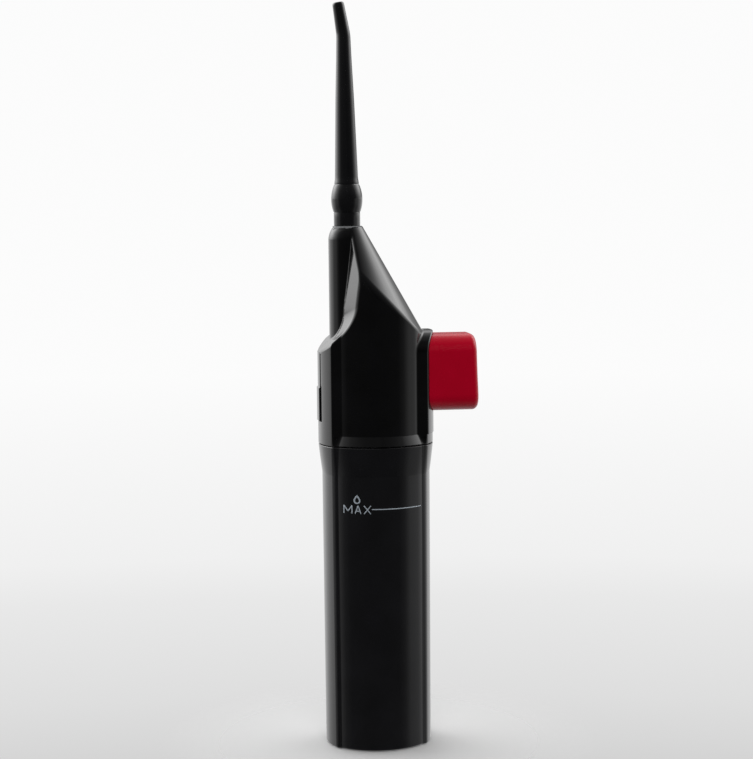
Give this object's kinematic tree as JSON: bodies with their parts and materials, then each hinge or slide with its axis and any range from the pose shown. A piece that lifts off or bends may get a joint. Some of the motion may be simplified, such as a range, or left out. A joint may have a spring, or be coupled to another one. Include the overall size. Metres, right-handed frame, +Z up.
{
  "type": "water flosser",
  "caption": "Hand-pumped water flosser: upright water tank, lift-off pump head with side push button, slanted roof, and a slim bent jet tip on a turning collar.",
  "frame": {"origin": "centre of the tank's flat base, on the body's axis and on the surface it stands on", "axes": "+Z up along the body, +X from the body's axis towards the push button, +Y to the back"},
  "size_m": [0.0604, 0.0378, 0.2803],
  "materials": {
    "head_black": "high gloss moulded black",
    "tank_smoke": "high gloss, very dark smoke tint",
    "button_red": "high gloss deep red",
    "nozzle_black": "gloss moulded black",
    "inner_white": "satin natural white",
    "inner_grey": "satin dark grey",
    "tube_clear": "satin translucent milky",
    "seal_rubber": "soft black rubber",
    "spring_steel": "drawn stainless wire",
    "screw_steel": "stainless",
    "ball_steel": "polished stainless ball",
    "print_pale": "pale grey-blue printed ink"
  },
  "bodies": {
    "tank": {"reservoir": "tank_smoke", "reservoir_neck": "tank_smoke"},
    "head": {"head_front_shell": "head_black", "head_back_shell": "head_black", "base_plate": "inner_grey", "mouth_seal": "seal_rubber", "shell_screws": "screw_steel", "vent_valve": "seal_rubber", "dip_tube": "tube_clear", "strainer": "inner_white", "pump_body": "inner_white", "pump_screws": "screw_steel", "inlet_seat": "seal_rubber", "outlet_seat": "seal_rubber", "outlet_tube": "inner_white", "rod_bush": "inner_grey", "spring_washer": "screw_steel", "return_spring": "spring_steel", "inlet_spring": "spring_steel", "outlet_spring": "spring_steel", "latch_pin": "screw_steel", "latch_spring": "spring_steel", "neck_bush": "inner_grey"},
    "button": {"button_cap": "button_red", "button_core": "inner_grey", "piston_rod": "screw_steel", "piston": "inner_white", "piston_seal": "seal_rubber"},
    "collar": {"nozzle_collar": "nozzle_black", "collar_seal": "seal_rubber", "collar_clip": "spring_steel"},
    "tip": {"jet_tip": "nozzle_black", "tip_seal": "seal_rubber"},
    "latch": {"latch_lever": "head_black"},
    "inlet_ball": {"inlet_ball": "ball_steel"},
    "outlet_ball": {"outlet_ball": "ball_steel"}
  },
  "joints": [
    {"name": "head_lift", "type": "slide", "parent": "tank", "child": "head", "axis": [0, 0, 1], "range_m": [0, 0.112]},
    {"name": "button_press", "type": "slide", "parent": "head", "child": "button", "axis": [-1, 0, 0], "range_m": [0, 0.013], "stiffness_N_per_m": 350, "springref_m": -0.012, "deforming": ["return_spring"]},
    {"name": "collar_turn", "type": "hinge", "parent": "head", "child": "collar", "pos_m": [-0.01, 0, 0.2], "axis": [0, 0, 1], "continuous": true},
    {"name": "tip_pull", "type": "slide", "parent": "collar", "child": "tip", "axis": [0, 0, 1], "range_m": [0, 0.0135]},
    {"name": "latch_press", "type": "hinge", "parent": "head", "child": "latch", "pos_m": [-0.0186, 0, 0.144], "axis": [0, -1, 0], "range_deg": [0, 4], "stiffness_Nm_per_rad": 0.08, "springref_deg": -5.73, "deforming": ["latch_spring"]},
    {"name": "inlet_ball_lift", "type": "slide", "parent": "head", "child": "inlet_ball", "axis": [0, 0, 1], "range_m": [0, 0.0008], "stiffness_N_per_m": 40, "springref_m": -0.0005, "deforming": ["inlet_spring"]},
    {"name": "outlet_ball_lift", "type": "slide", "parent": "head", "child": "outlet_ball", "axis": [0, 0, 1], "range_m": [0, 0.0008], "stiffness_N_per_m": 60, "springref_m": -0.0005, "deforming": ["outlet_spring"]}
  ]
}
